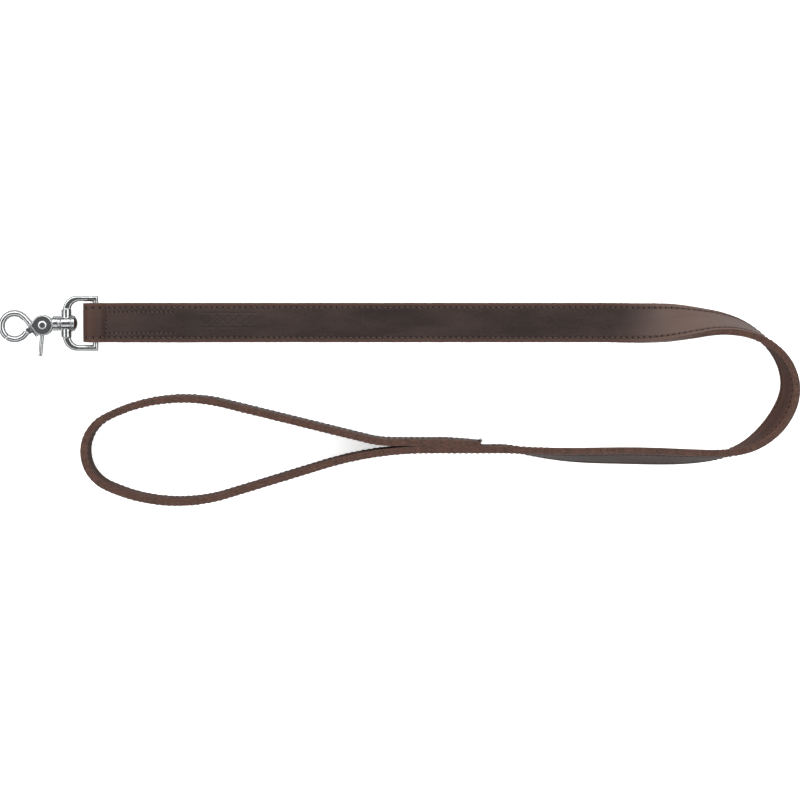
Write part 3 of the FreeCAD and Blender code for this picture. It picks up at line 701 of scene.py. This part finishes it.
def leather_material(name, dark, light, edge_tint, roughness, mirror, pull_sheen):
    """Oiled leather: clouded colour, pores and creases, redder edges, fibrous cut rims."""
    material, nodes, surface = new_material(name)
    where = nodes.strap_place()
    marks = nodes.add("SeparateColor")
    marks_source = nodes.add("Attribute", attribute_name="marks")
    nodes.give(marks.inputs[0], marks_source.outputs["Color"])
    hole, rim, bent = marks.outputs[0], marks.outputs[1], marks.outputs[2]
    pressed = marks_source.outputs["Alpha"]
    across = nodes.add("SeparateXYZ")
    nodes.give(across.inputs[0], where)
    off_middle = nodes.math("ABSOLUTE", across.outputs[1])

    clouds = nodes.noise(nodes.scaled(where, (0.35, 1.0, 1.0)), 0.055, 4.0, 0.6)
    mottle = nodes.noise(nodes.scaled(where, (0.7, 1.0, 1.0)), 0.9, 5.0, 0.7)
    shade = nodes.math("ADD", nodes.math("MULTIPLY", clouds, 0.75), nodes.math("MULTIPLY", mottle, 0.45))
    grain = nodes.mix(nodes.step(shade, 0.38, 0.85), dark, light)
    margin = nodes.step(nodes.math("ADD", off_middle, nodes.between(mottle, -0.8, 0.8)), 8.6, 12.2)
    grain = nodes.mix(nodes.math("MULTIPLY", margin, 0.75), grain, edge_tint)
    grain = nodes.mix(nodes.math("MULTIPLY", bent, nodes.between(mottle, 0.5, 1.0)), grain, edge_tint)
    # Round the twist the tone is partly the paleness of bent oiled leather, partly painted sheen on the
    # face turned towards the light.
    from_twist = nodes.math("ABSOLUTE", nodes.math("SUBTRACT", across.outputs[0], TWIST_S))
    pulled_sheen = nodes.math("MULTIPLY", nodes.step(from_twist, 75, 15), nodes.between(clouds, 0.5 * pull_sheen, pull_sheen))
    grain = nodes.mix(pulled_sheen, grain, PULLED_SHEEN_TONE)
    pores = nodes.cells(nodes.scaled(where, (1.0, 1.15, 1.0)), 1.35)
    speck = nodes.step(nodes.noise(where, 3.1, 3.0, 0.7), 0.35, 0.6)
    grain = nodes.mix(nodes.between(speck, 0.2, 0.0), grain, PORE_TONE)
    grain = nodes.mix(nodes.math("MULTIPLY", pressed, 0.6), grain, PRESSED_TONE)

    fibres = nodes.noise(nodes.scaled(where, (0.8, 2.0, 2.2)), 0.7, 6.0, 0.75)
    fuzz = nodes.noise(where, 1.7, 4.0, 0.85)
    thready = nodes.math("ADD", nodes.math("MULTIPLY", fibres, 0.45), nodes.math("MULTIPLY", fuzz, 0.55))
    cut = nodes.mix(nodes.step(thready, 0.36, 0.66), RIM_DARK, RIM_LIGHT)
    tone = nodes.mix(rim, grain, cut)
    # Painted shade: the stitch holes are darkened to near black.
    tone = nodes.mix(nodes.step(hole, 0.12, 0.5), tone, HOLE_SHADE_TONE)
    nodes.give(surface["Base Color"], tone)

    worn = nodes.between(mottle, roughness - 0.07, roughness + 0.1)
    nodes.give(surface["Roughness"], nodes.math("ADD", worn, nodes.math("MULTIPLY", rim, 0.35), clamp=True))
    nodes.give(surface["Specular IOR Level"], nodes.between(rim, mirror, 0.12))
    nodes.give(surface["Sheen Weight"], nodes.between(rim, 0.02, 0.18))
    nodes.give(surface["Sheen Roughness"], 0.6)

    crease = nodes.noise(nodes.scaled(where, (2.4, 0.55, 1.0)), 0.55, 5.0, 0.65)
    height = nodes.math("ADD", nodes.math("MULTIPLY", pores, 0.35), nodes.math("MULTIPLY", crease, 0.5))
    height = nodes.math("ADD", height, nodes.math("MULTIPLY", mottle, 0.35))
    height = nodes.math("MULTIPLY", height, nodes.between(rim, 1.0, 0.2))
    height = nodes.math("ADD", height, nodes.math("MULTIPLY", thready, nodes.between(rim, 0.0, 2.6)))
    nodes.give(surface["Normal"], nodes.bump(height, 0.14 * MM, 1.0))
    return material


def thread_material():
    """Waxed thread: rust brown, with its ply showing as slanting ridges."""
    material, nodes, surface = new_material("thread")
    where = nodes.strap_place()
    parts = nodes.add("SeparateXYZ")
    nodes.give(parts.inputs[0], where)
    ply = nodes.math("SINE", nodes.math("ADD", nodes.math("MULTIPLY", parts.outputs[2], 24.0),
                                        nodes.math("MULTIPLY", parts.outputs[1], 7.0)))
    tint = nodes.noise(where, 0.7, 3.0)
    base = nodes.mix(nodes.between(tint, 0.0, 1.0), colour(38, 21, 15), colour(76, 46, 35))
    base = nodes.mix(nodes.between(ply, 0.0, 0.35), base, colour(32, 16, 11))
    nodes.give(surface["Base Color"], base)
    nodes.give(surface["Roughness"], nodes.between(tint, 0.5, 0.7))
    nodes.give(surface["Sheen Weight"], 0.15)
    nodes.give(surface["Normal"], nodes.bump(ply, 0.05 * MM, 0.6))
    return material


def metal_material(name, tone, roughness, waviness):
    """Polished plating over a casting: soft waves, fine scratches, greyer in the pits."""
    material, nodes, surface = new_material(name)
    where = nodes.scaled(nodes.add("TexCoord").outputs["Object"], (1000.0, 1000.0, 1000.0))
    waves = nodes.noise(where, 0.45, 2.0)
    pits = nodes.noise(where, 2.2, 5.0, 0.7)
    scratch = nodes.noise(nodes.scaled(where, (0.5, 6.0, 2.0)), 1.6, 4.0, 0.8)
    nodes.give(surface["Metallic"], 1.0)
    base = nodes.mix(nodes.step(pits, 0.35, 0.6), tuple(0.8 * c for c in tone[:3]) + (1.0,), tone)
    nodes.give(surface["Base Color"], base)
    rough_tone = nodes.math("ADD", nodes.between(pits, roughness - 0.04, roughness + 0.1),
                            nodes.between(scratch, -0.03, 0.05))
    nodes.give(surface["Roughness"], rough_tone)
    height = nodes.math("ADD", nodes.math("MULTIPLY", waves, 3.0 * waviness),
                        nodes.math("MULTIPLY", pits, 0.35 * waviness))
    height = nodes.math("ADD", height, nodes.math("MULTIPLY", scratch, 0.03))
    nodes.give(surface["Normal"], nodes.bump(height, 0.05 * MM, 1.0))
    return material


# ---------------------------------------------------------------- stage, light, camera

CAMERA_AT = (0.0014, 0.0694, 1.692)
CAMERA_AIM = (0.0014, -0.0006, 0.0)
CAMERA_ANGLE = 17.06
EVEN_GLOW = (1.0, 2.15)  # seen by matt surfaces, from the sides and from above
MIRRORED_GLOW = (0.09, 1.9)  # seen in the metal, off and on the ring of lamps
PANEL_SIZE = (2.4, 1.0)


def studio_world():
    """Soft surroundings, even for matt surfaces; metal sees a dark camera and dim walls."""
    world = bpy.data.worlds.new("studio")
    bpy.context.scene.world = world
    world.use_nodes = True
    nodes = Nodes(world.node_tree)
    direction = nodes.add("SeparateXYZ")
    nodes.give(direction.inputs[0], nodes.add("TexCoord").outputs["Generated"])
    height = direction.outputs[2]
    panel = nodes.math("MULTIPLY", nodes.step(height, 0.48, 0.62), nodes.step(height, 0.95, 0.83))
    mirrored = nodes.between(panel, *MIRRORED_GLOW)
    far_side = nodes.step(direction.outputs[1], -0.7, 0.9)
    mirrored = nodes.math("MULTIPLY", mirrored, nodes.between(far_side, 0.5, 1.5))
    rays = nodes.add("LightPath")
    glow = nodes.add("Mix", data_type="FLOAT")
    nodes.give(glow.inputs[0], rays.outputs["Is Glossy Ray"])
    nodes.give(glow.inputs[2], nodes.between(nodes.step(height, -0.1, 0.9), *EVEN_GLOW))
    nodes.give(glow.inputs[3], mirrored)
    tone = nodes.add("CombineColor")
    for socket in tone.inputs[:3]:
        nodes.give(socket, glow.outputs[0])
    seen = rays.outputs["Is Camera Ray"]
    background = world.node_tree.nodes["Background"]
    nodes.give(background.inputs["Color"], nodes.mix(seen, tone.outputs[0], (0.93, 0.93, 0.93, 1)))


def soft_light(name, place_at, watts):
    """A wide lamp aimed at the object, too soft to show in the metal."""
    light = bpy.data.lights.new(name, "AREA")
    light.shape, light.energy = "RECTANGLE", watts
    light.size, light.size_y = PANEL_SIZE
    lamp = bpy.data.objects.new(name, light)
    lamp.visible_glossy = False
    lamp.location = place_at
    lamp.rotation_euler = (-Vector(place_at)).to_track_quat("-Z", "Y").to_euler()
    bpy.context.scene.collection.objects.link(lamp)


def floor():
    """A wide pale table top: a thin slab with square edges."""
    side, sheet = 3.0, 0.02
    mesh = bpy.data.meshes.new("table_top")
    top = -0.0002
    corners = [(x, y) for x, y in ((-side, -side), (side, -side), (side, side), (-side, side))]
    points = [(x, y, top) for x, y in corners] + [(x, y, top - sheet) for x, y in corners]
    faces = [(0, 1, 2, 3), (7, 6, 5, 4)] + [(i, i + 4, (i + 1) % 4 + 4, (i + 1) % 4) for i in range(4)]
    mesh.from_pydata(points, [], faces)
    table = bpy.data.objects.new("table_top", mesh)
    bpy.context.scene.collection.objects.link(table)
    material, nodes, surface = new_material("table_paint")
    paint = nodes.noise(nodes.add("TexCoord").outputs["Object"], 60.0, 4.0)
    white = nodes.mix(paint, (0.86, 0.86, 0.86, 1), (0.88, 0.88, 0.88, 1))
    mirrored = nodes.add("LightPath").outputs["Is Glossy Ray"]
    nodes.give(surface["Base Color"], nodes.mix(mirrored, white, (0.34, 0.34, 0.34, 1)))
    nodes.give(surface["Emission Color"], (1, 1, 1, 1))
    nodes.give(surface["Emission Strength"], nodes.between(mirrored, 0.45, 0.0))
    nodes.give(surface["Roughness"], 0.8)
    nodes.give(surface["Specular IOR Level"], 0.1)
    table.data.materials.append(material)


def camera():
    """Above the leash, leaning slightly towards the snap's side of the table."""
    data = bpy.data.cameras.new("camera")
    data.angle = math.radians(CAMERA_ANGLE)
    data.clip_end = 20
    eye = bpy.data.objects.new("camera", data)
    eye.location = CAMERA_AT
    eye.rotation_euler = (math.atan2(CAMERA_AIM[1] - CAMERA_AT[1], CAMERA_AT[2] - CAMERA_AIM[2]), 0, 0)
    bpy.context.scene.collection.objects.link(eye)
    bpy.context.scene.camera = eye


# ---------------------------------------------------------------- build

CASTINGS = {  # metal node: size of its skin's cells in mm, and how often it is smoothed
    "swivel_frame": (0.2, 8), "swivel_stud": (0.15, 4), "swivel_washer": (0.12, 2),
    "hook_body": (0.18, 6), "gate": (0.15, 4), "gate_rivet": (0.12, 3),
}


def dress(piece, material, slot, *nodes):
    piece.data.materials.clear()
    piece.data.materials.append(material)
    if nodes:
        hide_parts(*nodes)


def cast(node, voxel, rounds):
    """A closed copy of a metal node with its edges melted a little, as on a casting."""
    source = frame["nodes"][node]
    piece = bpy.data.objects.new(f"{node}_cast", source.data.copy())
    bpy.context.scene.collection.objects.link(piece)
    remesh = piece.modifiers.new("skin", "REMESH")
    remesh.mode, remesh.voxel_size = "VOXEL", voxel * MM
    remesh.use_smooth_shade = True
    smooth = piece.modifiers.new("polish", "SMOOTH")
    smooth.factor, smooth.iterations = 0.5, rounds
    shaped = bpy.data.meshes.new_from_object(piece.evaluated_get(bpy.context.evaluated_depsgraph_get()))
    piece.modifiers.clear()
    piece.data = shaped
    body = next(name for name, empty in frame["bodies"].items() if source.parent == empty)
    dress(piece, nickel, "nickel", node)
    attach(piece, body)


def flex(piece):
    """Bakes the piece's placement into its mesh; nothing here bends it or ties it to a body."""
    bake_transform(piece)


grain_leather = leather_material("grain_leather", colour(26, 16, 14), colour(51, 36, 30),
                                 colour(68, 42, 32), roughness=0.48, mirror=0.27, pull_sheen=1.0)
lining_leather = leather_material("lining_leather", colour(38, 20, 14), colour(74, 44, 32),
                                  colour(80, 49, 36), roughness=0.66, mirror=0.12, pull_sheen=0.0)
thread = thread_material()
nickel = metal_material("nickel", (0.70, 0.72, 0.73, 1.0), 0.13, 1.0)
steel = metal_material("steel_wire", (0.5, 0.5, 0.5, 1.0), 0.28, 0.4)

face = leather_piece("face_leather", True, 11.0)
dress(face, grain_leather, "grain_leather", "face_leather_lead", "face_leather_handle")
lining = leather_piece("lining_leather", False, 47.0)
dress(lining, lining_leather, "lining_leather", "lining_leather_lead", "lining_leather_handle")
for side_name, side_u in (("outer", -EDGE_ROW), ("inner", EDGE_ROW)):
    seam = stitches(f"{side_name}_edge_stitches", edge_rows(side_u), 5)
    dress(seam, thread, "thread", f"{side_name}_edge_seam_lead", f"{side_name}_edge_seam_handle")
    flex(seam)
snap_seam = stitches("snap_box_stitches", [(row, True) for row in SNAP_ROWS], 6)
dress(snap_seam, thread, "thread", "snap_box_seam")
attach(snap_seam, "lead")
handle_seam = stitches("handle_box_stitches", [(row, True) for row in HANDLE_ROWS], 7)
dress(handle_seam, thread, "thread", "handle_box_seam")
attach(handle_seam, "handle")
for sheet in (face, lining):
    flex(sheet)
fibres = end_fibres(150, 8)
dress(fibres, lining_leather, "lining_leather")
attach(fibres, "handle")

for node_name, skin in CASTINGS.items():
    cast(node_name, *skin)
frame["nodes"]["gate_spring"].data.materials.clear()
frame["nodes"]["gate_spring"].data.materials.append(steel)

studio_world()
soft_light("far_light", (0.15, 1.5, 1.1), 22)
soft_light("near_light", (-0.1, -1.5, 1.1), 6)
floor()
camera()
bpy.context.scene.view_settings.view_transform = "Standard"
